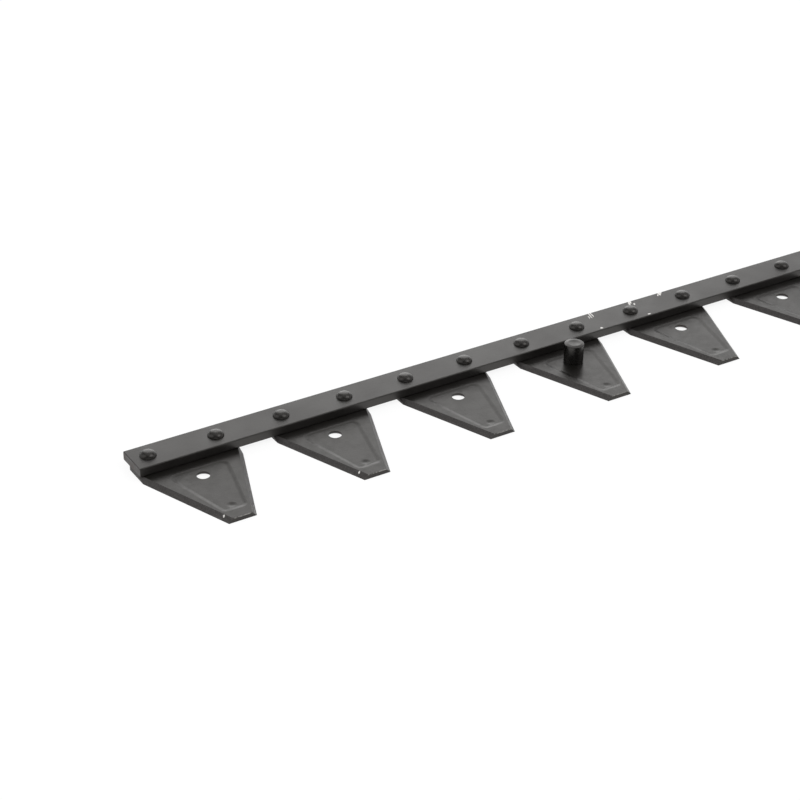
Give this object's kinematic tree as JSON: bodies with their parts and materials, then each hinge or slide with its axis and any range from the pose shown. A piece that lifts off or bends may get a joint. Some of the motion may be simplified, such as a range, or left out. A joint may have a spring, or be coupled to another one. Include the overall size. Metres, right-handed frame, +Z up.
{
  "type": "mower bottom knife",
  "caption": "Bottom knife of a double-knife mower: flat steel back, riveted triangular knife sections with pressed hollows, and upright guide pins.",
  "frame": {"origin": "on the surface that the knife lies on, under the middle of the box around the knife", "axes": "+X along the knife, the cutting edges point to -Y, +Z up from the sliding face towards the rivet heads and guide pins"},
  "size_m": [0.8186, 0.076, 0.0136],
  "materials": {
    "back_steel": "dark satin lacquer on rolled steel, chipped to bare metal in places",
    "section_steel": "dark satin lacquer on pressed and ground blade steel",
    "rivet_steel": "dark satin, set rivet head",
    "pin_steel": "dark satin turned steel, brighter end face"
  },
  "bodies": {
    "root": {"knife_back": "back_steel", "knife_section_01": "section_steel", "knife_section_02": "section_steel", "knife_section_03": "section_steel", "knife_section_04": "section_steel", "knife_section_05": "section_steel", "knife_section_06": "section_steel", "knife_section_07": "section_steel", "knife_section_08": "section_steel", "knife_section_09": "section_steel", "knife_section_10": "section_steel", "knife_section_11": "section_steel", "rivet_01": "rivet_steel", "rivet_02": "rivet_steel", "rivet_03": "rivet_steel", "rivet_04": "rivet_steel", "rivet_05": "rivet_steel", "rivet_06": "rivet_steel", "rivet_07": "rivet_steel", "rivet_08": "rivet_steel", "rivet_09": "rivet_steel", "rivet_10": "rivet_steel", "rivet_11": "rivet_steel", "rivet_12": "rivet_steel", "rivet_13": "rivet_steel", "rivet_14": "rivet_steel", "rivet_15": "rivet_steel", "rivet_16": "rivet_steel", "rivet_17": "rivet_steel", "rivet_18": "rivet_steel", "rivet_19": "rivet_steel", "rivet_20": "rivet_steel", "rivet_21": "rivet_steel", "rivet_22": "rivet_steel", "guide_pin_1": "pin_steel", "guide_pin_2": "pin_steel"}
  },
  "joints": []
}
